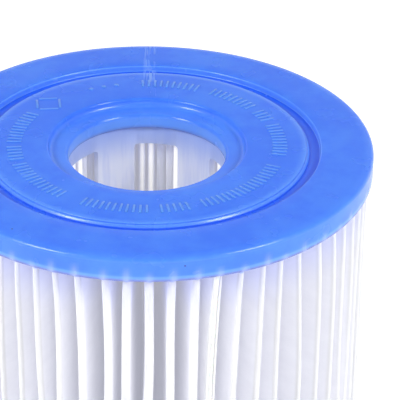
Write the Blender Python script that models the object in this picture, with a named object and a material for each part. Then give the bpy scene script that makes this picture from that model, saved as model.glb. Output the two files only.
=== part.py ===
"""Pleated filter cartridge for a small pool pump, in metres, +Z up.

A strip of polyester filter cloth is folded into upright pleats around a plastic cage, its two ends
are joined with a bead of hot-melt adhesive, and both ends of the pack are cast into soft vinyl end
caps. A hole runs straight through. The origin is the centre of the bottom cap's resting face.
Azimuths are counted from -Y towards +X.
"""
import math

import bpy
import bmesh
from mathutils import Matrix, Vector

# ---------------------------------------------------------------- driving dimensions (metres)

CARTRIDGE_HEIGHT = 0.100
FIT_GAP = 0.0003               # room between two pieces that touch

CAP_DIAMETER = 0.090
CAP_THICKNESS = 0.005
CAP_SKIN = 0.0007              # vinyl between a pleat's tip and the cap's rim
CAP_EDGE_ROUND = 0.0007

BORE_DIAMETER = 0.0314
BORE_LIP = 0.0005              # vinyl that laps over the inside of the cage's end
BORE_LIP_ROUND = 0.0005
LEDGE_WIDTH = 0.0025           # flat step round the hole
LEDGE_DEPTH = 0.00185          # step below the cap's outer face
LEDGE_ROUND = 0.0007           # hollow round at the back of the step
SHOULDER_ROUND = 0.0009        # rounded edge from the disc down to the step

SEAL_GROOVE_RADIUS = 0.0335    # to the middle of the groove
SEAL_GROOVE_WIDTH = 0.0020
SEAL_GROOVE_DEPTH = 0.0015
GROOVE_EDGE_ROUND = 0.0003
GROOVE_WEB = 0.0010            # vinyl left between the groove and the pleats' ends
DISC_DROP = 0.0002             # the disc inside the groove is this much lower
RIB_TIP_WIDTH = 0.0004         # vinyl between two pleats, where it thins out inwards

PLEAT_COUNT = 64
CLOTH_THICKNESS = 0.0005
OUTER_FOLD_HOLLOW = 0.0002     # inside radius of the cloth at a pleat's tip
INNER_FOLD_HOLLOW = 0.00005    # inside radius of the cloth at a valley's root
SEAM_AZIMUTH = math.radians(17.3)
SEAM_SPACING = 0.0015          # between the two cloth ends, centre to centre
SEAM_BEAD_DEPTH = 0.0090
SEAM_BEAD_SETBACK = 0.0005     # from the cloth's edges to the bead

CORE_WALL = 0.0015
WINDOW_COLUMNS = 6
WINDOW_TIERS = 3
WINDOW_WIDTH = 0.0096
WINDOW_BAR = 0.0040            # height of the bar between two tiers of windows
CORE_END_BAND = 0.0040         # plain band of the cage that shows past each cap
WINDOW_AZIMUTH = math.radians(-6.6)

# Fineness of the round shapes
CAP_STEPS = 64
CORE_STEPS = 60
ROUND_STEPS = 2
FOLD_STEPS = 1                 # flats in each half of a fold
CUT_MARGIN = 0.0005            # a cutter reaches this far past what it cuts

# ---------------------------------------------------------------- sizes that follow from those

CAP_RADIUS = CAP_DIAMETER / 2
BORE_RADIUS = BORE_DIAMETER / 2
POCKET_DEPTH = CAP_THICKNESS - SEAL_GROOVE_DEPTH - GROOVE_WEB
POCKET_INNER_RADIUS = BORE_RADIUS + BORE_LIP

CORE_INNER_RADIUS = POCKET_INNER_RADIUS + FIT_GAP
CORE_OUTER_RADIUS = CORE_INNER_RADIUS + CORE_WALL
PACK_BOTTOM = CAP_THICKNESS - POCKET_DEPTH + FIT_GAP
PACK_HEIGHT = CARTRIDGE_HEIGHT - 2 * PACK_BOTTOM

TIP_RADIUS = CAP_RADIUS - CAP_SKIN - FIT_GAP
ROOT_RADIUS = CORE_OUTER_RADIUS + FIT_GAP
HALF_PITCH = math.pi / PLEAT_COUNT
HALF_CLOTH = CLOTH_THICKNESS / 2
OUTER_FOLD = OUTER_FOLD_HOLLOW + HALF_CLOTH
INNER_FOLD = INNER_FOLD_HOLLOW + HALF_CLOTH
CLOTH_CLEARANCE = HALF_CLOTH + FIT_GAP

# The pleat's own plane: x outwards along the pleat, y across it towards the next pleat.
CROWN_CENTRE = Vector((TIP_RADIUS - OUTER_FOLD - HALF_CLOTH, 0.0))
ROOT_DISTANCE = ROOT_RADIUS + INNER_FOLD + HALF_CLOTH
ROOT_CENTRE = Vector((ROOT_DISTANCE * math.cos(HALF_PITCH), ROOT_DISTANCE * math.sin(HALF_PITCH)))
SEAM_EDGE = Vector((TIP_RADIUS, SEAM_SPACING / 2))

# ---------------------------------------------------------------- helpers


def clear_scene():
    """Remove every object, so that only the cartridge is left."""
    for old in list(bpy.data.objects):
        bpy.data.objects.remove(old)


def make_material(name, colour, roughness):
    """A plain plastic with its colour and roughness."""
    material = bpy.data.materials.new(name)
    material.use_nodes = True
    shader = material.node_tree.nodes["Principled BSDF"]
    shader.inputs["Base Color"].default_value = (*colour, 1.0)
    shader.inputs["Roughness"].default_value = roughness
    shader.inputs["Metallic"].default_value = 0.0
    return material


def add_object(name, bm, material=None):
    """Turn a bmesh into an object that is shaded smooth up to its sharp edges."""
    bmesh.ops.recalc_face_normals(bm, faces=bm.faces)
    mesh = bpy.data.meshes.new(name)
    bm.to_mesh(mesh)
    bm.free()
    mesh.shade_smooth()
    mesh.set_sharp_from_angle(angle=math.radians(35))
    if material:
        mesh.materials.append(material)
    piece = bpy.data.objects.new(name, mesh)
    bpy.context.scene.collection.objects.link(piece)
    return piece


def add_cutter(name, bm):
    """A shape that only cuts another one."""
    cutter = add_object(name, bm)
    cutter.hide_render = True
    cutter.display_type = "WIRE"
    return cutter


def cut(piece, cutter):
    """Cut one shape out of a piece."""
    boolean = piece.modifiers.new(cutter.name, "BOOLEAN")
    boolean.operation = "DIFFERENCE"
    boolean.solver = "EXACT"
    boolean.object = cutter
    cutter.parent = piece


def arc(centre, radius, start, end, steps):
    """Points on an arc from one angle to another, both in degrees."""
    angles = [math.radians(start + (end - start) * step / steps) for step in range(steps + 1)]
    return [(centre[0] + radius * math.cos(a), centre[1] + radius * math.sin(a)) for a in angles]


def turned(profile, steps, azimuth):
    """Spin a closed (radius, height) outline round the Z axis."""
    bm = bmesh.new()
    start = Matrix.Rotation(azimuth - math.pi / 2, 3, "Z")
    ring = [bm.verts.new(start @ Vector((radius, 0.0, height))) for radius, height in profile]
    edges = [bm.edges.new((ring[i - 1], ring[i])) for i in range(len(ring))]
    bmesh.ops.spin(bm, geom=ring + edges, axis=(0, 0, 1), cent=(0, 0, 0),
                   angle=2 * math.pi, steps=steps, use_merge=True)
    return bm


def on_pleat(point, azimuth, height):
    """Place a point of the pleat's own plane at the pleat's azimuth."""
    outwards = Vector((math.sin(azimuth), -math.cos(azimuth), 0.0))
    across = Vector((math.cos(azimuth), math.sin(azimuth), 0.0))
    return outwards * point[0] + across * point[1] + Vector((0.0, 0.0, height))


def raise_prism(bm, outline, azimuth, bottom, height):
    """Raise a prism from a closed outline in the pleat's own plane."""
    face = bm.faces.new([bm.verts.new(on_pleat(point, azimuth, bottom)) for point in outline])
    raised = bmesh.ops.extrude_face_region(bm, geom=[face])
    top = [item for item in raised["geom"] if isinstance(item, bmesh.types.BMVert)]
    bmesh.ops.translate(bm, verts=top, vec=(0.0, 0.0, height))


def mirrored(points):
    """The same points on the other side of the pleat, in the opposite order."""
    return [Vector((point[0], -point[1])) for point in reversed(points)]

# ---------------------------------------------------------------- the pleat's shape


def leaf_angle(edge, edge_radius):
    """Angle of the line square to a leaf, pointing into the valley beside it.

    The leaf runs straight from a round of edge_radius at the pleat's tip to the fold at the root.
    """
    across = ROOT_CENTRE - edge
    return math.atan2(across.y, across.x) - math.acos((edge_radius + INNER_FOLD) / across.length)


def leaf_side(edge, edge_radius, offset):
    """The two ends of a line beside a leaf, moved by offset from the cloth's middle."""
    angle = leaf_angle(edge, edge_radius)
    normal = Vector((math.cos(angle), math.sin(angle)))
    return edge + normal * (edge_radius + offset), ROOT_CENTRE - normal * (INNER_FOLD - offset)


def point_at_radius(ends, radius):
    """The point of a leaf's side line that is radius out from the axis."""
    share = (ends[0].x - radius) / (ends[0].x - ends[1].x)
    return ends[0].lerp(ends[1], share)


def half_pleat(edge, edge_radius):
    """Both faces of the cloth, from a pleat's tip to the middle of its root fold.

    Each entry is a pair: the point on the valley's face and the one behind it.
    """
    angle = leaf_angle(edge, edge_radius)
    pairs = []
    crown_steps = FOLD_STEPS if edge_radius > 0 else 0
    for step in range(crown_steps + 1):
        turn = angle * step / crown_steps if crown_steps else angle
        spoke = Vector((math.cos(turn), math.sin(turn)))
        pairs.append((edge + spoke * (edge_radius + HALF_CLOTH),
                      edge + spoke * (edge_radius - HALF_CLOTH)))
    start = angle + math.pi
    middle = HALF_PITCH + math.pi
    for step in range(FOLD_STEPS + 1):
        turn = start + (middle - start) * step / FOLD_STEPS
        spoke = Vector((math.cos(turn), math.sin(turn)))
        pairs.append((ROOT_CENTRE + spoke * (INNER_FOLD - HALF_CLOTH),
                      ROOT_CENTRE + spoke * (INNER_FOLD + HALF_CLOTH)))
    return pairs


def rib_end_radius():
    """Radius where the vinyl between two pleats has thinned to RIB_TIP_WIDTH."""
    ends = leaf_side(CROWN_CENTRE, OUTER_FOLD, CLOTH_CLEARANCE)
    widths = [end.x * math.sin(HALF_PITCH) - end.y * math.cos(HALF_PITCH) for end in ends]
    share = (widths[0] - RIB_TIP_WIDTH / 2) / (widths[0] - widths[1])
    return ends[0].lerp(ends[1], share).length

# ---------------------------------------------------------------- pieces


def cap_profile():
    """Outline of an end cap from its underside at height 0 to its face at CAP_THICKNESS."""
    face = CAP_THICKNESS
    disc = face - DISC_DROP
    ledge = face - LEDGE_DEPTH
    groove_floor = face - SEAL_GROOVE_DEPTH
    groove_outer = SEAL_GROOVE_RADIUS + SEAL_GROOVE_WIDTH / 2
    groove_inner = SEAL_GROOVE_RADIUS - SEAL_GROOVE_WIDTH / 2
    edge = CAP_EDGE_ROUND
    lip = GROOVE_EDGE_ROUND
    step_back = BORE_RADIUS + LEDGE_WIDTH
    recess_radius = rib_end_radius()

    outline = [(CAP_RADIUS, 0.0)]
    outline += arc((CAP_RADIUS - edge, face - edge), edge, 0, 90, ROUND_STEPS)
    outline += arc((groove_outer + lip, face - lip), lip, 90, 180, ROUND_STEPS)
    outline += [(groove_outer, groove_floor), (groove_inner, groove_floor)]
    outline += arc((groove_inner - lip, disc - lip), lip, 0, 90, ROUND_STEPS)
    outline += arc((step_back + SHOULDER_ROUND, disc - SHOULDER_ROUND), SHOULDER_ROUND,
                   90, 180, ROUND_STEPS)
    outline += arc((step_back - LEDGE_ROUND, ledge + LEDGE_ROUND), LEDGE_ROUND,
                   0, -90, ROUND_STEPS)
    outline += arc((BORE_RADIUS + BORE_LIP_ROUND, ledge - BORE_LIP_ROUND), BORE_LIP_ROUND,
                   90, 180, ROUND_STEPS)
    outline += [(BORE_RADIUS, 0.0), (POCKET_INNER_RADIUS, 0.0)]
    outline += [(POCKET_INNER_RADIUS, POCKET_DEPTH), (recess_radius, POCKET_DEPTH)]
    outline += [(recess_radius, 0.0)]
    return outline


def pocket_cutter():
    """The pockets that the pleats' ends stand in, one for each pleat."""
    bm = bmesh.new()
    inner = rib_end_radius() - CUT_MARGIN
    wall = TIP_RADIUS + FIT_GAP
    for index in range(PLEAT_COUNT):
        seam = index == 0
        tip, fold = (SEAM_EDGE, 0.0) if seam else (CROWN_CENTRE, OUTER_FOLD)
        side = leaf_side(tip, fold, CLOTH_CLEARANCE)
        half = [point_at_radius(side, inner), side[0], Vector((wall, side[0].y))]
        azimuth = SEAM_AZIMUTH + 2 * HALF_PITCH * index
        raise_prism(bm, half + mirrored(half), azimuth, -CUT_MARGIN, CUT_MARGIN + POCKET_DEPTH)
    return add_cutter("pleat_pocket_cutter", bm)


def make_end_cap(name, material):
    """An end cap standing on its underside, with its pleat pockets open downwards."""
    cap = add_object(name, turned(cap_profile(), CAP_STEPS, SEAM_AZIMUTH), material)
    cut(cap, pocket_cutter())
    return cap


def make_end_caps(material):
    """The top cap, and the same moulding turned over round the seam's line for the bottom."""
    top = make_end_cap("top_end_cap", material)
    top.location.z = CARTRIDGE_HEIGHT - CAP_THICKNESS
    bottom = make_end_cap("bottom_end_cap", material)
    seam_line = on_pleat((1.0, 0.0), SEAM_AZIMUTH, 0.0)
    lift = Matrix.Translation((0.0, 0.0, CAP_THICKNESS))
    bottom.matrix_world = lift @ Matrix.Rotation(math.pi, 4, seam_line)


def make_pleated_media(material):
    """The folded strip of cloth, from its one end at the seam round to the other."""
    plain = half_pleat(CROWN_CENTRE, OUTER_FOLD)
    seam = half_pleat(SEAM_EDGE, 0.0)

    def other_half(pairs):
        """The half on the near side of the tip, from after its root to before its tip."""
        flipped = [tuple(Vector((p.x, -p.y)) for p in pair) for pair in reversed(pairs)]
        return flipped[1:]

    path = [(pair, 0) for pair in seam]
    for index in range(1, PLEAT_COUNT):
        path += [(pair, index) for pair in other_half(plain)[:-1] + plain]
    path += [(pair, PLEAT_COUNT) for pair in other_half(seam)]

    bm = bmesh.new()
    rows = []
    for pair, index in path:
        azimuth = SEAM_AZIMUTH + 2 * HALF_PITCH * index
        rows.append([bm.verts.new(on_pleat(point, azimuth, PACK_BOTTOM)) for point in pair])
    for near, far in zip(rows, rows[1:]):
        bm.faces.new((near[0], near[1], far[1], far[0]))
    raised = bmesh.ops.extrude_face_region(bm, geom=bm.faces[:])
    top = [item for item in raised["geom"] if isinstance(item, bmesh.types.BMVert)]
    bmesh.ops.translate(bm, verts=top, vec=(0.0, 0.0, PACK_HEIGHT))
    add_object("pleated_media", bm, material)


def make_seam_adhesive(material):
    """The bead of adhesive between the cloth's two ends."""
    side = leaf_side(SEAM_EDGE, 0.0, -CLOTH_CLEARANCE)
    outer = TIP_RADIUS - SEAM_BEAD_SETBACK
    half = [point_at_radius(side, outer - SEAM_BEAD_DEPTH), point_at_radius(side, outer)]
    bm = bmesh.new()
    raise_prism(bm, half + mirrored(half), SEAM_AZIMUTH, PACK_BOTTOM, PACK_HEIGHT)
    add_object("seam_adhesive", bm, material)


def window_cutter():
    """All windows of the cage, in columns round it and tiers up it."""
    bm = bmesh.new()
    bottom = CAP_THICKNESS + CORE_END_BAND
    span = CARTRIDGE_HEIGHT - 2 * bottom
    height = (span - WINDOW_BAR * (WINDOW_TIERS - 1)) / WINDOW_TIERS
    inner = CORE_INNER_RADIUS - CORE_WALL
    outer = CORE_OUTER_RADIUS + CORE_WALL
    half = [Vector((inner, WINDOW_WIDTH / 2)), Vector((outer, WINDOW_WIDTH / 2))]
    for column in range(WINDOW_COLUMNS):
        azimuth = WINDOW_AZIMUTH + 2 * math.pi * column / WINDOW_COLUMNS
        for tier in range(WINDOW_TIERS):
            foot = bottom + tier * (height + WINDOW_BAR)
            raise_prism(bm, half + mirrored(half), azimuth, foot, height)
    return add_cutter("core_window_cutter", bm)


def make_inner_core(material):
    """The cage that the pleats stand round."""
    top = PACK_BOTTOM + PACK_HEIGHT
    profile = [(CORE_INNER_RADIUS, PACK_BOTTOM), (CORE_OUTER_RADIUS, PACK_BOTTOM),
               (CORE_OUTER_RADIUS, top), (CORE_INNER_RADIUS, top)]
    core = add_object("inner_core", turned(profile, CORE_STEPS, WINDOW_AZIMUTH), material)
    cut(core, window_cutter())


def build():
    """Make the whole cartridge."""
    clear_scene()
    make_end_caps(make_material("end_cap_vinyl", (0.09, 0.26, 0.93), 0.35))
    make_pleated_media(make_material("filter_cloth", (0.86, 0.86, 0.90), 0.90))
    make_seam_adhesive(make_material("hot_melt_adhesive", (0.80, 0.78, 0.70), 0.45))
    make_inner_core(make_material("core_plastic", (0.80, 0.79, 0.86), 0.40))


build()
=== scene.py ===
"""Looks of a pleated pool filter cartridge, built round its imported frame, in metres.

Azimuths are counted from -Y, the front, towards +X. The caps are cast vinyl, the pleats one strip
of nonwoven polyester cloth, and the cage inside is natural plastic.
"""
import math
import random

import bpy
import bmesh
from mathutils import Matrix, Vector


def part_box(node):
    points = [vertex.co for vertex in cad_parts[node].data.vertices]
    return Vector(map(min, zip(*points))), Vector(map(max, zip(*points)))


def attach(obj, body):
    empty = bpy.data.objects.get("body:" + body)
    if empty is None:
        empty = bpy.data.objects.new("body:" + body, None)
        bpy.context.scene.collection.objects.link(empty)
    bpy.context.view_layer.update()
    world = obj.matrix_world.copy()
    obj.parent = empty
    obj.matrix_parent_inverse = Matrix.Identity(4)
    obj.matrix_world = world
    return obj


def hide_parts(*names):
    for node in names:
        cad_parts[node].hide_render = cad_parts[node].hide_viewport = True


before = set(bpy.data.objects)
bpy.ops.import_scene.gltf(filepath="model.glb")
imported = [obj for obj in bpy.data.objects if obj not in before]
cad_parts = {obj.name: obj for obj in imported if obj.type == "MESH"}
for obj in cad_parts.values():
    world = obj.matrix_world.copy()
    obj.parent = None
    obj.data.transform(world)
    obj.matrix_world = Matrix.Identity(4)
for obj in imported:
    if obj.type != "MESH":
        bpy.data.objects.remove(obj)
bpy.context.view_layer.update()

# ---------------------------------------------------------------- sizes, from the frame

MM = 0.001
CAP_LOW, CAP_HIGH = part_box("top_end_cap")
PACK_LOW, PACK_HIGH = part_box("pleated_media")
CORE_LOW, CORE_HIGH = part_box("inner_core")

TOP_FACE = CAP_HIGH.z
CAP_THICKNESS = CAP_HIGH.z - CAP_LOW.z
CAP_RADIUS = (CAP_HIGH.x - CAP_LOW.x) / 2
TIP_RADIUS = (PACK_HIGH.x - PACK_LOW.x) / 2
PACK_BOTTOM = PACK_LOW.z
PACK_TOP = PACK_HIGH.z
CORE_RADIUS = (CORE_HIGH.x - CORE_LOW.x) / 2

# ---------------------------------------------------------------- camera

CAMERA_DISTANCE = 457.1 * MM
CAMERA_ELEVATION = math.radians(29.48)
CAMERA_AIM_BELOW_TOP = 13.08 * MM
CAMERA_PAN = math.radians(1.34)
CAMERA_ROLL = math.radians(-0.16)
CAMERA_LENS = 204.2
CAMERA_CLIP = (0.01, 20.0)
SENSOR_WIDTH = 36.0


def make_camera():
    """A long lens in front of the cartridge and above it, aimed a little to its right."""
    data = bpy.data.cameras.new("studio_camera")
    data.lens = CAMERA_LENS
    data.sensor_width = SENSOR_WIDTH
    data.clip_start, data.clip_end = CAMERA_CLIP
    camera = bpy.data.objects.new("studio_camera", data)
    bpy.context.scene.collection.objects.link(camera)
    tilt = Matrix.Rotation(math.pi / 2 - CAMERA_ELEVATION, 4, "X")
    pan = Matrix.Rotation(-CAMERA_PAN, 4, "Y")
    roll = Matrix.Rotation(-CAMERA_ROLL, 4, "Z")
    aim = Vector((0.0, 0.0, TOP_FACE - CAMERA_AIM_BELOW_TOP))
    back = Vector((0.0, -math.cos(CAMERA_ELEVATION), math.sin(CAMERA_ELEVATION)))
    place = Matrix.Translation(aim + back * CAMERA_DISTANCE)
    camera.matrix_world = place @ tilt @ pan @ roll
    bpy.context.scene.camera = camera


make_camera()

# ---------------------------------------------------------------- shared makers' helpers

SHARP_EDGE = math.radians(40)


def add_piece(name, bm, material, replaces):
    """Turn a bmesh into a finished piece that stands for a node of the frame."""
    mesh = bpy.data.meshes.new(name)
    bm.to_mesh(mesh)
    bm.free()
    mesh.materials.append(material)
    mesh.shade_smooth()
    mesh.set_sharp_from_angle(angle=SHARP_EDGE)
    piece = bpy.data.objects.new(name, mesh)
    bpy.context.scene.collection.objects.link(piece)
    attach(piece, "root")
    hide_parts(replaces)
    return piece


def around(radius, azimuth, height):
    """A point at a radius and an azimuth."""
    return Vector((radius * math.sin(azimuth), -radius * math.cos(azimuth), height))


def arc(centre, radius, start, end, steps):
    """Points on an arc from one angle to another, both in degrees."""
    angles = [math.radians(start + (end - start) * step / steps) for step in range(steps + 1)]
    return [(centre[0] + radius * math.cos(a), centre[1] + radius * math.sin(a)) for a in angles]

# ---------------------------------------------------------------- how the pleats stand

PLEAT_COUNT = 64
PITCH = 2 * math.pi / PLEAT_COUNT
SEAM_AZIMUTH = math.radians(17.3)
CLOTH_THICKNESS = 0.38 * MM
CROWN_RADII = (0.25 * MM, 0.36 * MM)    # middle of the cloth, at a pleat's tip
SOFT_CROWN = 0.32 * MM                  # wider still where the pack was pressed in least
SOFT_CROWN_ANGLE = 0.42
ROOT_FOLD_RADIUS = 0.55 * MM
ROOT_RADIUS = CORE_RADIUS + 0.3 * MM
SEAM_SPACING = 1.30 * MM
GLUE_SOAK = 0.02 * MM
SEAM_BEAD_ROWS = 40
SEAM_BEAD_DEPTH = 8.5 * MM
SEAM_BEAD_SET_BACK = 0.10               # mm
SEAM_BEAD_UNEVEN = 0.03                 # mm, either way
SEAM_BEAD_EDGE = 0.2 * MM
PLEAT_LEAN = 0.35                       # degrees, either way
PLEAT_WAVE = (0.10, 0.45)               # degrees
PLEAT_WAVE_COUNT = (0.6, 1.6)           # waves along a pleat
PLEAT_SET_BACK = 0.35 * MM
LEAF_BOW = 0.6                          # mm, either way
ROOT_SHIFT = 0.3                        # degrees, either way
ROOT_LIFT = 1.3 * MM
CROWN_STEPS = 6
ROOT_STEPS = 4
LEAF_STEPS = 4
ROWS = 34

# Waves round the pack: degrees of shift, waves per turn, phase in degrees
CROWDING = ((1.0, 0, 90), (1.25, 2, -44), (0.5, 7, 55), (0.5, 11, 172), (0.35, 19, -94))
SWAY = ((0.9, 0, 90), (1.6, 2, -83), (1.6, 5, 172), (0.7, 11, -24))


def unit(value):
    """A value held between 0 and 1."""
    return min(max(value, 0.0), 1.0)


def pack_share(height):
    """How far up the pack a height is, from 0 to 1."""
    return (height - PACK_BOTTOM) / (PACK_TOP - PACK_BOTTOM)


def slide(azimuth, waves):
    """How far the pleats near an azimuth have slid round from even spacing, in radians."""
    return math.radians(sum(amount * math.sin(count * azimuth + math.radians(phase))
                            for amount, count, phase in waves))


class Pleat:
    """One pleat's own small irregularities, drawn in order round the pack."""

    def __init__(self, index, draw):
        nominal = SEAM_AZIMUTH + index * PITCH
        self.azimuth = nominal + slide(nominal, CROWDING)
        self.sway = slide(nominal, SWAY)
        self.lean = math.radians(draw.uniform(-PLEAT_LEAN, PLEAT_LEAN))
        self.waves = [(math.radians(draw.uniform(*PLEAT_WAVE)), draw.uniform(*PLEAT_WAVE_COUNT),
                       draw.uniform(0, 2 * math.pi)) for _ in range(2)]
        self.set_back = draw.uniform(0.0, 1.0) * PLEAT_SET_BACK
        from_front = math.remainder(self.azimuth, 2 * math.pi)
        soft = math.exp(-(from_front / SOFT_CROWN_ANGLE) ** 2)
        self.crown_radius = draw.uniform(*CROWN_RADII) + SOFT_CROWN * soft
        self.bow = draw.uniform(-LEAF_BOW, LEAF_BOW) * MM
        self.ripple = draw.uniform(0, 2 * math.pi)
        shift = math.radians(draw.uniform(-ROOT_SHIFT, ROOT_SHIFT))
        self.root_azimuth = nominal + PITCH / 2 + shift
        self.root_radius = ROOT_RADIUS + draw.uniform(0.0, 1.0) ** 2 * ROOT_LIFT

    def tip(self, height):
        """The tip's azimuth at a height; both ends are held by the caps."""
        share = pack_share(height)
        held = math.sin(math.pi * unit(share)) ** 0.6
        wander = self.sway * held + self.lean * (share - 0.5) * 2 * held
        for amount, waves, phase in self.waves:
            wander += amount * held * math.sin(2 * math.pi * waves * share + phase)
        return self.azimuth + wander

    def radius(self, height):
        """The tip's radius at a height."""
        share = pack_share(height)
        return TIP_RADIUS - self.set_back * (1 + 0.6 * math.sin(7 * share + self.ripple))


def leaf_angle(crown, crown_radius, root, side):
    """Angle of the line square to the leaf between two folds, pointing into the valley."""
    across = root - crown
    swing = math.acos((crown_radius + ROOT_FOLD_RADIUS) / across.length)
    return math.atan2(across.y, across.x) - side * swing


def turn_between(start, end):
    """The angle from start to end, the short way round."""
    return (end - start + math.pi) % (2 * math.pi) - math.pi


def fold_line(pleats, height):
    """The cloth's middle line at one height, from its first edge at the seam to its last."""
    def flat(radius, azimuth):
        point = around(radius, azimuth, 0.0)
        return Vector((point.x, point.y))

    first = pleats[0]
    half_gap = SEAM_SPACING / 2 / TIP_RADIUS
    crowns = [(flat(first.radius(height), first.tip(height) + half_gap), 0.0)]
    for pleat in pleats[1:]:
        crown_radius = pleat.crown_radius
        crowns.append((flat(pleat.radius(height) - crown_radius, pleat.tip(height)), crown_radius))
    crowns.append((flat(first.radius(height), first.tip(height) - half_gap), 0.0))
    roots = [flat(pleat.root_radius + ROOT_FOLD_RADIUS, pleat.root_azimuth) for pleat in pleats]

    line = []
    for index, root in enumerate(roots):
        crown, crown_radius = crowns[index]
        last, last_radius = crowns[index + 1]
        down = leaf_angle(crown, crown_radius, root, 1)
        up = leaf_angle(last, last_radius, root, -1)
        leave = Vector((math.cos(down), math.sin(down)))
        back = Vector((math.cos(up), math.sin(up)))
        if index == 0:
            line.append(crown)
        line += leaf_points(crown + leave * crown_radius, root - leave * ROOT_FOLD_RADIUS,
                            leave, pleats[index].bow, height)
        sweep = turn_between(down + math.pi, up + math.pi)
        if sweep > 0:
            sweep -= 2 * math.pi
        for step in range(ROOT_STEPS + 1):
            angle = down + math.pi + sweep * step / ROOT_STEPS
            line.append(root + Vector((math.cos(angle), math.sin(angle))) * ROOT_FOLD_RADIUS)
        following = pleats[(index + 1) % PLEAT_COUNT]
        line += leaf_points(root - back * ROOT_FOLD_RADIUS, last + back * last_radius,
                            back, -following.bow, height)
        if last_radius > 0:
            onward = leaf_angle(last, last_radius, roots[index + 1], 1)
            sweep = turn_between(up, onward)
            if sweep < 0:
                sweep += 2 * math.pi
            for step in range(CROWN_STEPS + 1):
                angle = up + sweep * step / CROWN_STEPS
                line.append(last + Vector((math.cos(angle), math.sin(angle))) * last_radius)
        else:
            line.append(last)
    return line


def leaf_points(start, end, normal, bow, height):
    """Points inside a leaf, bowed a little to one side."""
    points = []
    for step in range(1, LEAF_STEPS):
        share = step / LEAF_STEPS
        bulge = bow * math.sin(math.pi * share)
        bulge *= math.sin(math.pi * pack_share(height))
        points.append(start.lerp(end, share) + normal * bulge)
    return points

# ---------------------------------------------------------------- shader helpers and groups


class Nodes:
    """Short names for building a node tree."""

    def __init__(self, tree):
        self.tree = tree

    def add(self, kind, **settings):
        """Add a node and set its properties."""
        node = self.tree.nodes.new(kind)
        for name, value in settings.items():
            setattr(node, name, value)
        return node

    def put(self, node, **values):
        """Set or link a node's inputs; a socket's name has _ for a space."""
        for name, value in values.items():
            self.feed(node.inputs[name.replace("_", " ")], value)
        return node

    def feed(self, socket, value):
        """Link a socket to an input, or set the input's value."""
        if isinstance(value, bpy.types.NodeSocket):
            self.tree.links.new(value, socket)
        else:
            socket.default_value = value

    def math(self, operation, first, second=0.0, clamp=False):
        """One Math node."""
        node = self.add("ShaderNodeMath", operation=operation, use_clamp=clamp)
        self.feed(node.inputs[0], first)
        self.feed(node.inputs[1], second)
        return node.outputs[0]

    def ramp(self, value, low, high, to_low=0.0, to_high=1.0):
        """A smooth step from to_low at low to to_high at high."""
        node = self.add("ShaderNodeMapRange", interpolation_type="SMOOTHSTEP")
        self.put(node, Value=value, From_Min=low, From_Max=high, To_Min=to_low, To_Max=to_high)
        return node.outputs["Result"]

    def mix(self, share, first, second):
        """Mix two colours."""
        node = self.add("ShaderNodeMix", data_type="RGBA")
        self.feed(node.inputs["Factor"], share)
        self.feed(node.inputs[6], first)
        self.feed(node.inputs[7], second)
        return node.outputs[2]

    def dimmed(self, first, second):
        """One colour multiplied by another."""
        node = self.add("ShaderNodeMix", data_type="RGBA", blend_type="MULTIPLY")
        self.feed(node.inputs["Factor"], 1.0)
        self.feed(node.inputs[6], first)
        self.feed(node.inputs[7], second)
        return node.outputs[2]

    def noise(self, vector, scale, detail=2.0, roughness=0.5, distortion=0.0):
        """A noise texture's value."""
        node = self.add("ShaderNodeTexNoise")
        self.put(node, Vector=vector, Scale=scale, Detail=detail, Roughness=roughness,
                 Distortion=distortion)
        return node.outputs["Fac"]

    def stretched(self, vector, scale):
        """The same coordinates scaled by a different amount along each axis."""
        node = self.add("ShaderNodeMapping")
        self.put(node, Vector=vector, Scale=scale)
        return node.outputs["Vector"]

    def object_place(self):
        """Object coordinates."""
        return self.add("ShaderNodeTexCoord").outputs["Object"]

    def split(self, vector):
        """The X, Y and Z of a vector."""
        node = self.add("ShaderNodeSeparateXYZ")
        self.put(node, Vector=vector)
        return node.outputs

    def from_axis(self, vector):
        """Distance from the cartridge's axis."""
        node = self.add("ShaderNodeVectorMath", operation="LENGTH")
        self.put(node, Vector=self.stretched(vector, (1.0, 1.0, 0.0)))
        return node.outputs["Value"]


def new_group(name, inputs, outputs):
    """A node group with named inputs and outputs; returns its tree and its two end nodes."""
    tree = bpy.data.node_groups.new(name, "ShaderNodeTree")
    for socket_name, kind, value in inputs:
        socket = tree.interface.new_socket(name=socket_name, in_out="INPUT", socket_type=kind)
        if value is not None:
            socket.default_value = value
    for socket_name, kind in outputs:
        tree.interface.new_socket(name=socket_name, in_out="OUTPUT", socket_type=kind)
    nodes = Nodes(tree)
    return nodes, nodes.add("NodeGroupInput").outputs, nodes.add("NodeGroupOutput")


FLOAT = "NodeSocketFloat"
VECTOR = "NodeSocketVector"


def moulded_grain_group():
    """Fine pits and slow waves of a moulded plastic surface, as one height."""
    nodes, inside, out = new_group(
        "moulded_grain",
        [("Place", VECTOR, None), ("Pit Size", FLOAT, 0.0003), ("Wave Size", FLOAT, 0.004),
         ("Wave Share", FLOAT, 0.5)],
        [("Height", FLOAT), ("Waves", FLOAT)])
    pits = nodes.noise(inside["Place"], nodes.math("DIVIDE", 1.0, inside["Pit Size"]), 3.0, 0.6)
    waves = nodes.noise(inside["Place"], nodes.math("DIVIDE", 1.0, inside["Wave Size"]), 2.0)
    rest = nodes.math("SUBTRACT", 1.0, inside["Wave Share"])
    height = nodes.math("ADD", nodes.math("MULTIPLY", pits, rest),
                        nodes.math("MULTIPLY", waves, inside["Wave Share"]))
    nodes.put(out, Height=height, Waves=waves)
    return nodes.tree


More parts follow.
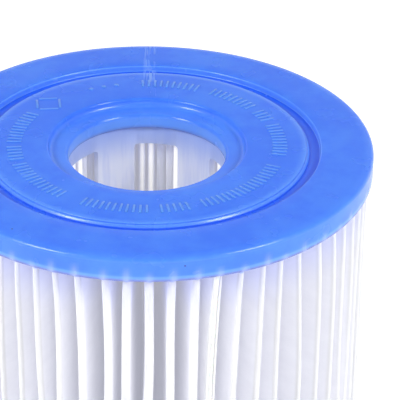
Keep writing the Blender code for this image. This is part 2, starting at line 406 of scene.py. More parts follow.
def specks_group():
    """Scattered specks of grit: 1 on a speck and 0 elsewhere."""
    nodes, inside, out = new_group(
        "specks",
        [("Place", VECTOR, None), ("Spacing", FLOAT, 0.012), ("Size", FLOAT, 0.04)],
        [("Mask", FLOAT)])
    cells = nodes.add("ShaderNodeTexVoronoi", feature="F1")
    nodes.put(cells, Vector=inside["Place"], Scale=nodes.math("DIVIDE", 1.0, inside["Spacing"]),
              Randomness=1.0)
    uneven = nodes.noise(inside["Place"], 900.0, 2.0)
    reach = nodes.math("MULTIPLY", inside["Size"], nodes.math("ADD", uneven, 0.4))
    inner = nodes.math("MULTIPLY", reach, 0.6)
    step = nodes.add("ShaderNodeMapRange", interpolation_type="SMOOTHSTEP")
    nodes.put(step, Value=cells.outputs["Distance"], From_Min=inner, From_Max=reach,
              To_Min=1.0, To_Max=0.0)
    nodes.put(out, Mask=step.outputs["Result"])
    return nodes.tree


def scratches_group():
    """Fine straight scratches along one direction: 1 in a scratch."""
    nodes, inside, out = new_group(
        "scratches",
        [("Place", VECTOR, None), ("Spacing", FLOAT, 0.003), ("Amount", FLOAT, 0.5)],
        [("Mask", FLOAT)])
    long = nodes.stretched(inside["Place"], (1.0, 0.035, 1.0))
    lines = nodes.noise(long, nodes.math("DIVIDE", 1.0, inside["Spacing"]), 3.0, 0.7, 0.3)
    patches = nodes.noise(inside["Place"], 70.0, 2.0)
    line = nodes.ramp(lines, 0.66, 0.74)
    mask = nodes.math("MULTIPLY", line, nodes.ramp(patches, 0.5, 0.7))
    nodes.put(out, Mask=nodes.math("MULTIPLY", mask, inside["Amount"]))
    return nodes.tree


GRAIN = moulded_grain_group()
SPECKS = specks_group()
SCRATCHES = scratches_group()


def use_group(nodes, tree, **values):
    """Place a group in a material; returns its outputs."""
    node = nodes.add("ShaderNodeGroup", node_tree=tree)
    nodes.put(node, **values)
    return node.outputs


def new_material(name):
    """An empty material with a Principled BSDF; returns the material, its nodes and the shader."""
    material = bpy.data.materials.new(name)
    material.use_nodes = True
    nodes = Nodes(material.node_tree)
    return material, nodes, material.node_tree.nodes["Principled BSDF"]


def bump(nodes, shader, height, distance, strength=1.0):
    """Feed a height to the shader's normal."""
    node = nodes.add("ShaderNodeBump")
    nodes.put(node, Height=height, Distance=distance, Strength=strength)
    nodes.feed(shader.inputs["Normal"], node.outputs["Normal"])

# ---------------------------------------------------------------- materials

VINYL_LIGHT = (0.045, 0.212, 0.93, 1.0)
VINYL_DEEP = (0.030, 0.170, 0.90, 1.0)
VINYL_PAINTED_SHADE = (0.004, 0.085, 0.80, 1.0)
VINYL_LIT_MILKY = (0.15, 0.37, 0.96, 1.0)
VINYL_LIT_PALE = (0.165, 0.20, 0.52, 1.0)
VINYL_OVER_PLEAT = (0.46, 0.56, 0.93, 1.0)
VINYL_SCUFFED = (0.30, 0.48, 0.93, 1.0)
GRIT = (0.02, 0.03, 0.10, 1.0)
SCUFF_X = 0.6 * MM
SCUFF_HALF_WIDTH = 1.8 * MM
SCUFF_START = (19 * MM, 24 * MM)        # fades in between these distances behind the axis
SCRATCHED = 0.12
SCUFFED = 0.6
VINYL_ROUGHNESS = (0.22, 0.28)
PLEAT_ENDS_SHOW = 0.6
PAINTED_SHADE_SHOWS = 0.7


def scuff_mask(nodes, place):
    """A dry scuff across the back of the upper cap's face, in fine streaks along Y."""
    axes = nodes.split(place)
    off_line = nodes.math("ABSOLUTE", nodes.math("SUBTRACT", axes["X"], SCUFF_X))
    band = nodes.ramp(off_line, SCUFF_HALF_WIDTH * 0.2, SCUFF_HALF_WIDTH, 1.0, 0.0)
    behind = nodes.ramp(axes["Y"], *SCUFF_START)
    upper = nodes.ramp(axes["Z"], TOP_FACE - 4 * MM, TOP_FACE - 3 * MM)
    streaks = nodes.noise(nodes.stretched(place, (1.0, 0.05, 1.0)), 1500.0, 2.0, 0.6)
    patches = nodes.noise(place, 180.0, 2.0)
    mask = nodes.math("MULTIPLY", nodes.ramp(streaks, 0.48, 0.60), nodes.ramp(patches, 0.35, 0.6))
    for part in (band, behind, upper):
        mask = nodes.math("MULTIPLY", mask, part)
    return mask


def cap_vinyl():
    """Soft blue vinyl: mottled, paler where it lies over the pleats' ends, with painted light on
    thinner parts and edges, painted shade in hollows, grit, scratches and a scuff."""
    material, nodes, shader = new_material("blue_cast_vinyl")
    place = nodes.object_place()
    grain = use_group(nodes, GRAIN, Place=place, Pit_Size=0.00035, Wave_Size=0.006,
                      Wave_Share=0.45)
    mottle = nodes.noise(place, 260.0, 3.0, 0.6)
    clouds = nodes.noise(place, 75.0, 2.0, 0.5)
    shade = nodes.math("ADD", nodes.math("MULTIPLY", mottle, 0.4),
                       nodes.math("MULTIPLY", clouds, 0.6))
    colour = nodes.mix(nodes.ramp(shade, 0.38, 0.62), VINYL_DEEP, VINYL_LIGHT)
    # Painted light: paler where light would shine through thinner vinyl, and painted highlights on
    # edges and marks
    thin = nodes.add("ShaderNodeAttribute", attribute_name="thin").outputs["Fac"]
    colour = nodes.mix(nodes.ramp(thin, 0.0, 0.5, 0.0, 0.8), colour, VINYL_LIT_MILKY)
    colour = nodes.mix(nodes.ramp(thin, 0.5, 1.0, 0.0, 0.95), colour, VINYL_LIT_PALE)
    ends = nodes.add("ShaderNodeAttribute", attribute_name="pleat_ends").outputs["Fac"]
    colour = nodes.mix(nodes.math("MULTIPLY", ends, PLEAT_ENDS_SHOW), colour, VINYL_OVER_PLEAT)
    # Painted shade: deeper colour in the groove's floor, under the bead and at the rim's foot
    painted_shade = nodes.add("ShaderNodeAttribute", attribute_name="painted_shade").outputs["Fac"]
    colour = nodes.mix(nodes.math("MULTIPLY", painted_shade, PAINTED_SHADE_SHOWS), colour, VINYL_PAINTED_SHADE)
    grit = use_group(nodes, SPECKS, Place=place, Spacing=0.013, Size=0.022)["Mask"]
    colour = nodes.mix(nodes.math("MULTIPLY", grit, 0.8), colour, GRIT)
    scratch = use_group(nodes, SCRATCHES, Place=place, Spacing=0.0022, Amount=0.5)["Mask"]
    scuff = scuff_mask(nodes, place)
    worn = nodes.math("MAXIMUM", nodes.math("MULTIPLY", scratch, SCRATCHED),
                      nodes.math("MULTIPLY", scuff, SCUFFED))
    colour = nodes.mix(worn, colour, VINYL_SCUFFED)
    nodes.feed(shader.inputs["Base Color"], colour)
    rough = nodes.ramp(grain["Waves"], 0.3, 0.7, *VINYL_ROUGHNESS)
    rough = nodes.math("ADD", rough, nodes.math("MULTIPLY", worn, 0.5))
    nodes.feed(shader.inputs["Roughness"], rough)
    shader.inputs["IOR"].default_value = 1.53
    shader.inputs["Subsurface Weight"].default_value = 0.25
    shader.inputs["Subsurface Radius"].default_value = (0.3, 0.5, 1.0)
    shader.inputs["Subsurface Scale"].default_value = 0.0012
    height = nodes.math("SUBTRACT", grain["Height"], nodes.math("MULTIPLY", worn, 0.6))
    bump(nodes, shader, height, 0.00004, 0.8)
    return material


CLOTH_WHITE = (0.77, 0.77, 0.78, 1.0)
CLOTH_GREY = (0.73, 0.73, 0.745, 1.0)
CLOTH_BLUISH = (0.60, 0.64, 0.93, 1.0)
LEAF_SHADE = (0.93, 0.93, 0.96, 1.0)
CLOTH_THROUGH = (0.88, 0.89, 1.0, 1.0)
CLOTH_THROUGH_BLUISH = (0.56, 0.62, 0.98, 1.0)
CLOTH_AT_CORE = (1.0, 0.96, 0.80, 1.0)
WICK_STAIN_AND_SHADOW_BLUE = (0.22, 0.36, 0.95, 1.0)
BLACK = (0.0, 0.0, 0.0, 1.0)
MIDDLE = (PACK_TOP + PACK_BOTTOM) / 2
CAP_LINE = TOP_FACE - CAP_THICKNESS - MIDDLE    # from the pack's middle to a cap
CLOTH_GLOW_REACH = 12 * MM              # how far the caps' blue light shows on the cloth
CLOTH_GLOW = 0.48
WICK_AND_SHADOW_UNEVEN = 1.1 * MM
WICK_AND_SHADOW_SHARE = 0.9
TIP_FADE = (1.1 * MM, 0.2 * MM)         # behind a tip, where the cloth turns from leaf to tip
LIGHT_FADE = (12 * MM, 1 * MM)          # behind a tip, where the light through the cloth fades
LIGHT_SHARES = (0.26, 0.36)
LIGHT_THROUGH = 0.53
ROOT_LIGHT = 0.5 * MM                   # the roots' folds are lit this far out from the cage


def from_middle(nodes, place):
    """Height above or below the pack's middle."""
    return nodes.math("ABSOLUTE", nodes.math("SUBTRACT", nodes.split(place)["Z"], MIDDLE))


def pleat_cloth():
    """Nonwoven polyester: matted fibres, cloudy thinner and thicker patches, vinyl wicked up
    a little from the caps with painted shadow under their edge, painted blue light near them,
    painted shade on the leaves, painted light through the walls between the pleats and a
    painted highlight on the root folds."""
    material, nodes, shader = new_material("nonwoven_polyester")
    place = nodes.object_place()
    sheet = nodes.add("ShaderNodeUVMap", uv_map="along_cloth").outputs["UV"]
    fibres = nodes.noise(sheet, 3600.0, 4.0, 0.75, 2.2)
    strands = nodes.noise(nodes.stretched(sheet, (1.0, 0.18, 1.0)), 2600.0, 3.0, 0.7, 1.2)
    clouds = nodes.noise(sheet, 330.0, 3.0, 0.6)
    weft = nodes.math("ADD", nodes.math("MULTIPLY", fibres, 0.6),
                      nodes.math("MULTIPLY", strands, 0.4))
    shade = nodes.math("ADD", nodes.math("MULTIPLY", clouds, 0.6),
                       nodes.math("MULTIPLY", weft, 0.4))
    colour = nodes.mix(nodes.ramp(shade, 0.35, 0.65), CLOTH_GREY, CLOTH_WHITE)
    height = from_middle(nodes, place)
    # Painted light: blue light from the caps shows on the cloth near them
    glow = nodes.ramp(height, CAP_LINE - CLOTH_GLOW_REACH, CAP_LINE, 0.0, CLOTH_GLOW)
    colour = nodes.mix(glow, colour, CLOTH_BLUISH)
    # A stain of vinyl wicked up from the caps, which also paints the shadow under the caps' edge
    # as a blue line
    uneven = nodes.math("MULTIPLY", nodes.noise(place, 700.0, 3.0, 0.7), WICK_AND_SHADOW_UNEVEN)
    wick_stain_and_shadow = nodes.ramp(nodes.math("ADD", height, uneven), CAP_LINE - 0.3 * MM,
                      CAP_LINE + 0.4 * MM, 0.0, WICK_AND_SHADOW_SHARE)
    colour = nodes.mix(wick_stain_and_shadow, colour, WICK_STAIN_AND_SHADOW_BLUE)
    out = nodes.from_axis(place)
    # Painted shade on the leaves behind each tip, which leaves the tips lighter
    behind_tip = nodes.ramp(out, TIP_RADIUS - TIP_FADE[0], TIP_RADIUS - TIP_FADE[1], 1.0, 0.0)
    colour = nodes.mix(behind_tip, colour, nodes.dimmed(colour, LEAF_SHADE))
    nodes.feed(shader.inputs["Base Color"], colour)
    # Painted light: emission stands for light through the cloth between the pleats and paints a
    # highlight on the root folds next to the cage
    fading = nodes.ramp(out, TIP_RADIUS - LIGHT_FADE[0], TIP_RADIUS - LIGHT_FADE[1],
                        *LIGHT_SHARES)
    at_core = nodes.ramp(out, ROOT_RADIUS, ROOT_RADIUS + ROOT_LIGHT, 1.0, 0.0)
    share = nodes.math("MAXIMUM", nodes.math("MULTIPLY", behind_tip, fading), at_core)
    through = nodes.mix(glow, CLOTH_THROUGH, CLOTH_THROUGH_BLUISH)
    through = nodes.mix(at_core, through, CLOTH_AT_CORE)
    nodes.feed(shader.inputs["Emission Color"], nodes.mix(share, BLACK, through))
    shader.inputs["Emission Strength"].default_value = LIGHT_THROUGH
    shader.inputs["Roughness"].default_value = 0.85
    shader.inputs["Sheen Weight"].default_value = 0.15
    shader.inputs["Sheen Roughness"].default_value = 0.5
    shader.inputs["Subsurface Weight"].default_value = 0.7
    shader.inputs["Subsurface Radius"].default_value = (1.0, 1.0, 1.0)
    shader.inputs["Subsurface Scale"].default_value = 0.001
    bump(nodes, shader, weft, 0.00006, 0.9)
    return material


CORE_MILKY = (0.65, 0.69, 0.86, 1.0)
CORE_PALE = (0.80, 0.82, 0.91, 1.0)
CORE_BLUISH = (0.28, 0.40, 0.80, 1.0)
CORE_GLOW_REACH = 9 * MM
CORE_GLOW = 0.85
CORE_LIGHT = 0.05                       # weak, for light that comes through the cloth
CORE_ROUGHNESS = (0.30, 0.42)


def core_plastic():
    """Natural, slightly milky polypropylene with faint upright flow lines."""
    material, nodes, shader = new_material("natural_polypropylene")
    place = nodes.object_place()
    grain = use_group(nodes, GRAIN, Place=place, Pit_Size=0.0005, Wave_Size=0.005,
                      Wave_Share=0.6)
    flow = nodes.noise(nodes.stretched(place, (1.0, 1.0, 0.12)), 420.0, 3.0, 0.6, 0.4)
    colour = nodes.mix(nodes.ramp(flow, 0.35, 0.65), CORE_MILKY, CORE_PALE)
    # Painted blue light through the vinyl and painted shade on the cage near the caps
    near_cap = nodes.ramp(from_middle(nodes, place), CAP_LINE - CORE_GLOW_REACH, CAP_LINE,
                          0.0, CORE_GLOW)
    colour = nodes.mix(near_cap, colour, CORE_BLUISH)
    nodes.feed(shader.inputs["Base Color"], colour)
    nodes.feed(shader.inputs["Emission Color"], colour)
    shader.inputs["Emission Strength"].default_value = CORE_LIGHT
    rough = nodes.ramp(grain["Waves"], 0.3, 0.7, *CORE_ROUGHNESS)
    nodes.feed(shader.inputs["Roughness"], rough)
    shader.inputs["Subsurface Weight"].default_value = 0.35
    shader.inputs["Subsurface Radius"].default_value = (1.0, 0.9, 1.0)
    shader.inputs["Subsurface Scale"].default_value = 0.002
    height = nodes.math("ADD", grain["Height"], nodes.math("MULTIPLY", flow, 0.5))
    bump(nodes, shader, height, 0.00005, 0.7)
    return material


GLUE_PALE = (0.84, 0.83, 0.80, 1.0)
GLUE_CLOUDY = (0.92, 0.92, 0.91, 1.0)
GLUE_ROUGHNESS = (0.22, 0.40)


def seam_glue():
    """Set hot-melt adhesive: pale, glossy and a little cloudy, with small bubbles."""
    material, nodes, shader = new_material("set_hot_melt")
    place = nodes.object_place()
    clouds = nodes.noise(place, 500.0, 3.0, 0.6)
    bubbles = use_group(nodes, SPECKS, Place=place, Spacing=0.0016, Size=0.22)["Mask"]
    colour = nodes.mix(nodes.ramp(clouds, 0.35, 0.7), GLUE_PALE, GLUE_CLOUDY)
    colour = nodes.mix(nodes.math("MULTIPLY", bubbles, 0.6), colour, GLUE_CLOUDY)
    nodes.feed(shader.inputs["Base Color"], colour)
    nodes.feed(shader.inputs["Roughness"], nodes.ramp(clouds, 0.3, 0.7, *GLUE_ROUGHNESS))
    shader.inputs["Subsurface Weight"].default_value = 0.3
    shader.inputs["Subsurface Scale"].default_value = 0.001
    bump(nodes, shader, nodes.math("ADD", clouds, bubbles), 0.00008, 0.8)
    return material

# ---------------------------------------------------------------- end caps

BORE_RADIUS = 15.7 * MM
LEDGE_RADIUS = 19.6 * MM
LEDGE_DEPTH = 1.85 * MM
LEDGE_ROUND = 1.15 * MM
LIP_ROUND = 0.75 * MM
SHOULDER_ROUND = 0.45 * MM
DISC_DROP = 0.20 * MM
DISC_CROWN = 0.05 * MM
GROOVE_INNER = 31.95 * MM               # top of the groove's inner wall
BEAD_LEDGE = 0.22 * MM                  # fine step round the disc, just above that wall
BEAD_DROP = 0.30 * MM
BEAD_ROUND = 0.16 * MM
GROOVE_OUTER = 34.5 * MM
GROOVE_DEPTH = 1.25 * MM
GROOVE_EDGE = 0.35 * MM
GROOVE_WALL_ROUND = 2.0 * MM            # upper part of the inner wall, curved slightly
GROOVE_WALL_ANGLES = (5, 32, 46)        # degrees, from its foot to its top
GROOVE_CORNER = 0.25 * MM
RIM_ROLL = 9.0 * MM                     # radius of the face's gentle roll-off towards the rim
RIM_ROLL_ANGLE = 9.4                    # degrees
RIM_TOP_ROUND = 0.8 * MM
RIM_FOOT_ROUND = 0.35 * MM
CAP_STEPS = 512

MARK_RADIUS = 26.4 * MM
MARK_LENGTH = 3.0 * MM
MARK_WIDTH = 0.5 * MM
MARK_HEIGHT = 0.15 * MM
MARK_SINK = 0.10 * MM
MARK_BEVEL = 0.10 * MM
MARK_STEP = math.radians(2.7)
PLEAT_END_WIDTH = math.radians(0.85)
PLEAT_END_REACH = (1.6, 3.6)            # mm above the cap's underside
PIP_RADIUS = 0.5 * MM
# Painted light paling the vinyl, 0 to 1: light through thinner vinyl, and highlights on edges
EDGE_PAINTED_LIGHT = 0.30
SHOULDER_PAINTED_LIGHT = 0.16
BORE_PAINTED_LIGHT = (0.10, 0.40, 0.35)          # at its lip, added below the lip, added at its foot
BORE_PAINTED_LIGHT_FOOT = 3.9 * MM               # depth at which the foot begins
RIM_PAINTED_LIGHT = (0.10, 0.90)                 # on the rim's side, added at its foot
RIM_PAINTED_LIGHT_FOOT = 3.6 * MM
# Painted shade, 0 to 1: deeper colour in the groove, under the bead and at the rim's foot
GROOVE_PAINTED_SHADE = 1.0
UNDER_BEAD_PAINTED_SHADE = 0.6
RIM_FOOT_PAINTED_SHADE = 0.7
# Rows of moulding marks: first and last azimuth in degrees
MARK_ROWS = ((-118, -91), (-86, -75), (-70, -38), (-27, 0), (6, 17), (24, 69),
             (80, 107), (113, 121), (127, 149), (157, 182))
PIP_AZIMUTHS = (-166, -160, -154)
LOZENGE_AZIMUTH = -130
LOZENGE_HALF = 2.3 * MM
LOZENGE_SIDE = 3.8 * MM


def cap_profile():
    """Closed (radius, height) outline of a cap, from its underside at 0 to its face."""
    face = CAP_THICKNESS
    disc = face - DISC_DROP
    ledge = face - LEDGE_DEPTH
    floor = face - GROOVE_DEPTH
    outline = arc((CAP_RADIUS - RIM_FOOT_ROUND, RIM_FOOT_ROUND), RIM_FOOT_ROUND, -90, 0, 4)
    outline += [(CAP_RADIUS, face * share) for share in (0.13, 0.2, 0.27, 0.35, 0.5, 0.65, 0.8)]

    slope = math.radians(RIM_ROLL_ANGLE)
    roll_drop = RIM_ROLL * (1 - math.cos(slope))
    edge_drop = roll_drop + RIM_TOP_ROUND * math.cos(slope)
    roll_start = CAP_RADIUS - RIM_TOP_ROUND - (RIM_ROLL - RIM_TOP_ROUND) * math.sin(slope)
    outline += arc((CAP_RADIUS - RIM_TOP_ROUND, face - edge_drop), RIM_TOP_ROUND,
                   0, 90 - RIM_ROLL_ANGLE, 7)
    outline += arc((roll_start, face - RIM_ROLL), RIM_ROLL, 90 - RIM_ROLL_ANGLE, 90, 5)[1:]

    outline += [(GROOVE_OUTER + 3 * MM, face)]
    outline += arc((GROOVE_OUTER + GROOVE_EDGE, face - GROOVE_EDGE), GROOVE_EDGE, 90, 180, 5)
    outline += arc((GROOVE_OUTER - GROOVE_CORNER, floor + GROOVE_CORNER), GROOVE_CORNER, 0, -90, 3)
    wall_top = disc - BEAD_DROP
    steep, bend, lean = (math.radians(angle) for angle in GROOVE_WALL_ANGLES)
    bend_height = wall_top - GROOVE_WALL_ROUND * (math.sin(lean) - math.sin(bend))
    bend_radius = GROOVE_INNER + GROOVE_WALL_ROUND * (math.cos(bend) - math.cos(lean))
    foot = (bend_height - floor) / (math.sin(bend) - math.sin(steep))
    outline += arc((bend_radius - foot * math.cos(bend), bend_height - foot * math.sin(bend)),
                   foot, GROOVE_WALL_ANGLES[0], GROOVE_WALL_ANGLES[1], 5)
    outline += arc((bend_radius - GROOVE_WALL_ROUND * math.cos(bend),
                    bend_height - GROOVE_WALL_ROUND * math.sin(bend)),
                   GROOVE_WALL_ROUND, GROOVE_WALL_ANGLES[1], GROOVE_WALL_ANGLES[2], 5)[1:]
    outer_edge = GROOVE_INNER - BEAD_LEDGE - BEAD_ROUND
    outline.append((GROOVE_INNER - BEAD_LEDGE + 0.02 * MM, wall_top + 0.02 * MM))
    outline += arc((outer_edge, disc - BEAD_ROUND), BEAD_ROUND, 0, 90, 4)

    inner_edge = LEDGE_RADIUS + SHOULDER_ROUND
    for step in range(1, 8):
        share = step / 8
        crown = DISC_CROWN * math.sin(math.pi * share)
        outline.append((outer_edge + (inner_edge - outer_edge) * share, disc + crown))
    outline += arc((inner_edge, disc - SHOULDER_ROUND), SHOULDER_ROUND, 90, 180, 7)
    outline += arc((LEDGE_RADIUS - LEDGE_ROUND, ledge + LEDGE_ROUND), LEDGE_ROUND, 0, -90, 4)
    outline += arc((BORE_RADIUS + LIP_ROUND, ledge - LIP_ROUND), LIP_ROUND, 90, 180, 6)
    outline += [(BORE_RADIUS, face * share) for share in (0.35, 0.2)]
    outline += arc((BORE_RADIUS + RIM_FOOT_ROUND, RIM_FOOT_ROUND), RIM_FOOT_ROUND, 180, 270, 3)
    return outline


def round_outline(radius, sides=10):
    """A circle."""
    return arc((0.0, 0.0), radius, 0, 360 * (sides - 1) / sides, sides - 1)


def bar_outline(length, width):
    """A bar with clipped corners that runs in and out from the axis."""
    end = length / 2
    side = width / 2
    clip = width / 4
    return [(end, side - clip), (end - clip, side), (clip - end, side), (-end, side - clip),
            (-end, clip - side), (clip - end, -side), (end - clip, -side), (end, clip - side)]


def raise_mark(bm, outline, radius, azimuth):
    """Raise one mark out of the disc, with a softened top edge."""
    foot = CAP_THICKNESS - DISC_DROP - MARK_SINK
    outwards = around(1.0, azimuth, 0.0)
    across = Vector((math.cos(azimuth), math.sin(azimuth), 0.0))
    place = [outwards * (radius + x) + across * y + Vector((0, 0, foot)) for x, y in outline]
    face = bm.faces.new([bm.verts.new(point) for point in place])
    raised = bmesh.ops.extrude_face_region(bm, geom=[face])["geom"]
    top = [item for item in raised if isinstance(item, bmesh.types.BMVert)]
    height = MARK_SINK + MARK_HEIGHT + DISC_CROWN
    bmesh.ops.translate(bm, verts=top, vec=(0.0, 0.0, height))
    top_face = [item for item in raised if isinstance(item, bmesh.types.BMFace)]
    bmesh.ops.bevel(bm, geom=top_face[0].edges[:], offset=MARK_BEVEL, offset_type="OFFSET",
                    segments=2, profile=0.5, affect="EDGES", material=-1)


def add_marks(bm):
    """The ring of raised moulding marks on the disc: rows of plain ticks, pips and a lozenge."""
    for first, end in MARK_ROWS:
        count = round(math.radians(end - first) / MARK_STEP) + 1
        for index in range(count):
            azimuth = math.radians(first + (end - first) * index / (count - 1))
            raise_mark(bm, bar_outline(MARK_LENGTH, MARK_WIDTH), MARK_RADIUS, azimuth)
    for azimuth in PIP_AZIMUTHS:
        raise_mark(bm, round_outline(PIP_RADIUS), MARK_RADIUS, math.radians(azimuth))
    for quarter in range(4):
        turn = math.radians(45 + 90 * quarter)
        side = [(x * math.sin(turn) + (LOZENGE_HALF + y) * math.cos(turn),
                 (LOZENGE_HALF + y) * math.sin(turn) - x * math.cos(turn))
                for x, y in bar_outline(LOZENGE_SIDE, MARK_WIDTH)]
        raise_mark(bm, side, MARK_RADIUS, math.radians(LOZENGE_AZIMUTH))


def pleat_end_value(azimuth, depth, tips, reach):
    """How strongly the pleats' ends show through the rim at a depth below the face."""
    value = 0.0
    for tip, far in zip(tips, reach):
        away = abs(turn_between(azimuth, tip))
        if away < 4 * PLEAT_END_WIDTH:
            rise = (depth - (CAP_THICKNESS - far)) / far
            value += math.exp(-(away / PLEAT_END_WIDTH) ** 2) * unit(rise)
    return min(value, 1.0)


def thinness(radius, depth):
    """How much painted light pales the vinyl at a radius and a depth below the face."""
    if radius < BORE_RADIUS + 0.3 * MM:
        below_lip = unit((depth - LEDGE_DEPTH - 0.3 * MM) / (0.6 * MM))
        foot = unit((depth - BORE_PAINTED_LIGHT_FOOT) / (1.0 * MM))
        return BORE_PAINTED_LIGHT[0] + BORE_PAINTED_LIGHT[1] * below_lip + BORE_PAINTED_LIGHT[2] * foot
    if radius < LEDGE_RADIUS + 0.8 * MM and depth > 0.5 * MM:
        return SHOULDER_PAINTED_LIGHT
    if GROOVE_INNER - 0.4 * MM < radius < GROOVE_INNER + 0.5 * MM:
        return EDGE_PAINTED_LIGHT
    if abs(radius - GROOVE_OUTER) < 0.2 * MM:
        return EDGE_PAINTED_LIGHT
    if radius > CAP_RADIUS - 0.6 * MM and depth > 1.0 * MM:
        return RIM_PAINTED_LIGHT[0] + RIM_PAINTED_LIGHT[1] * unit((depth - RIM_PAINTED_LIGHT_FOOT) / (1.1 * MM))
    if radius > CAP_RADIUS - 2.5 * MM:
        return SHOULDER_PAINTED_LIGHT * min((radius - CAP_RADIUS + 2.5 * MM) / (1.5 * MM), 1.0)
    on_mark = abs(radius - MARK_RADIUS) < 5 * MM and depth < DISC_DROP - DISC_CROWN - 0.01 * MM
    return EDGE_PAINTED_LIGHT if on_mark else 0.0


def tint_cap(mesh, pleats, pack_end, face_z):
    """Attributes of the vinyl: paler over the pleats' ends; painted light on thinner parts and
    edges;
    painted shade in the bottom of the groove, under the bead and at the foot of the rim."""
    ends = mesh.attributes.new("pleat_ends", "FLOAT", "POINT")
    thin = mesh.attributes.new("thin", "FLOAT", "POINT")
    painted_shade = mesh.attributes.new("painted_shade", "FLOAT", "POINT")
    draw = random.Random(7)
    tips = [pleat.tip(pack_end) for pleat in pleats]
    reach = [draw.uniform(*PLEAT_END_REACH) * MM for _ in pleats]
    for vertex in mesh.vertices:
        spot = vertex.co
        radius = math.hypot(spot.x, spot.y)
        depth = abs(spot.z - face_z)
        # Painted light through thinner vinyl and on edges
        thin.data[vertex.index].value = thinness(radius, depth)
        if radius > CAP_RADIUS - 0.6 * MM:
            azimuth = math.atan2(spot.x, -spot.y)
            ends.data[vertex.index].value = pleat_end_value(azimuth, depth, tips, reach)
        # Painted shade in the groove's floor, under the bead and at the rim's foot
        in_groove = GROOVE_INNER + 0.2 * MM < radius < GROOVE_OUTER - 0.2 * MM
        under_bead = abs(radius - GROOVE_INNER + BEAD_LEDGE) < 0.04 * MM
        if in_groove and depth > 0.75 * GROOVE_DEPTH:
            painted_shade.data[vertex.index].value = GROOVE_PAINTED_SHADE
        elif under_bead and DISC_DROP + BEAD_ROUND + 0.05 * MM < depth < GROOVE_DEPTH:
            painted_shade.data[vertex.index].value = UNDER_BEAD_PAINTED_SHADE
        elif radius > CAP_RADIUS - 0.4 * MM and depth > CAP_THICKNESS - 0.12 * MM:
            painted_shade.data[vertex.index].value = RIM_FOOT_PAINTED_SHADE


def make_cap(name, node, pleats, material, turned_over):
    """One end cap: a turned casting with its marks, face up or face down."""
    bm = bmesh.new()
    ring = [bm.verts.new(around(radius, SEAM_AZIMUTH, height)) for radius, height in cap_profile()]
    edges = [bm.edges.new((ring[i - 1], ring[i])) for i in range(len(ring))]
    bmesh.ops.spin(bm, geom=ring + edges, axis=(0, 0, 1), cent=(0, 0, 0),
                   angle=2 * math.pi, steps=CAP_STEPS, use_merge=True)
    bmesh.ops.recalc_face_normals(bm, faces=bm.faces)
    turned = set(bm.faces)
    add_marks(bm)
    bmesh.ops.recalc_face_normals(bm, faces=[face for face in bm.faces if face not in turned])
    if turned_over:
        seam_line = around(1.0, SEAM_AZIMUTH, 0.0)
        bmesh.ops.rotate(bm, verts=bm.verts, cent=(0, 0, 0),
                         matrix=Matrix.Rotation(math.pi, 3, seam_line))
        bmesh.ops.translate(bm, verts=bm.verts, vec=(0, 0, CAP_THICKNESS))
        pack_end, face_z = CAP_THICKNESS, 0.0
    else:
        bmesh.ops.translate(bm, verts=bm.verts, vec=(0, 0, TOP_FACE - CAP_THICKNESS))
        pack_end, face_z = TOP_FACE - CAP_THICKNESS, TOP_FACE
    piece = add_piece(name, bm, material, node)
    tint_cap(piece.data, pleats, pack_end, face_z)
    return piece

# ---------------------------------------------------------------- pleated cloth


def make_cloth(pleats, material):
    """A flat strip of cloth, folded row by row into the pleats and then given its thickness."""
    heights = [PACK_BOTTOM + (PACK_TOP - PACK_BOTTOM) * row / ROWS for row in range(ROWS + 1)]
    lines = [fold_line(pleats, height) for height in heights]
    columns = len(lines[0]) - 1
    bm = bmesh.new()
    bm.loops.layers.uv.new("along_cloth")
    bmesh.ops.create_grid(bm, x_segments=columns, y_segments=ROWS, size=0.5, calc_uvs=True)
    for vertex in bm.verts:
        column = round((vertex.co.x + 0.5) * columns)
        row = round((vertex.co.y + 0.5) * ROWS)
        point = lines[row][column]
        vertex.co = (point.x, point.y, heights[row])
    middle = lines[ROWS // 2]
    length = sum((b - a).length for a, b in zip(middle, middle[1:]))
    uv = bm.loops.layers.uv.active
    for face in bm.faces:
        for loop in face.loops:
            loop[uv].uv = (loop[uv].uv.x * length, loop[uv].uv.y * (PACK_TOP - PACK_BOTTOM))
    piece = add_piece("folded_cloth_strip", bm, material, "pleated_media")
    piece.data.shade_smooth()
    thicken = piece.modifiers.new("cloth_thickness", "SOLIDIFY")
    thicken.thickness = CLOTH_THICKNESS
    thicken.offset = 0.0
    return piece, length


def make_seam_glue(pleats, material):
    """The bead of adhesive between the cloth's two free edges."""
    bm = bmesh.new()
    rings = []
    draw = random.Random(3)
    first = pleats[0]
    half = (SEAM_SPACING - CLOTH_THICKNESS) / 2 + GLUE_SOAK
    for row in range(SEAM_BEAD_ROWS + 1):
        height = PACK_BOTTOM + (PACK_TOP - PACK_BOTTOM) * row / SEAM_BEAD_ROWS
        uneven = draw.uniform(-SEAM_BEAD_UNEVEN, SEAM_BEAD_UNEVEN)
        outer = first.radius(height) - (SEAM_BEAD_SET_BACK + uneven) * MM
        edge = outer - SEAM_BEAD_EDGE
        inner = outer - SEAM_BEAD_DEPTH
        azimuth = first.tip(height)
        outwards = around(1.0, azimuth, 0.0)
        across = Vector((math.cos(azimuth), math.sin(azimuth), 0.0))
        outline = ((inner, -half), (edge, -half), (outer, -half * 0.45),
                   (outer, half * 0.45), (edge, half), (inner, half))
        rings.append([bm.verts.new(outwards * x + across * y + Vector((0, 0, height)))
                      for x, y in outline])
    loops = []
    for ring in rings:
        loops.append([bm.edges.new((ring[i - 1], ring[i])) for i in range(len(ring))])
    for lower, upper in zip(loops, loops[1:]):
        bmesh.ops.bridge_loops(bm, edges=lower + upper)
    bmesh.ops.contextual_create(bm, geom=loops[0])
    bmesh.ops.contextual_create(bm, geom=loops[-1])
    bmesh.ops.recalc_face_normals(bm, faces=bm.faces)
    return add_piece("seam_glue_bead", bm, material, "seam_adhesive")


# ---------------------------------------------------------------- cage

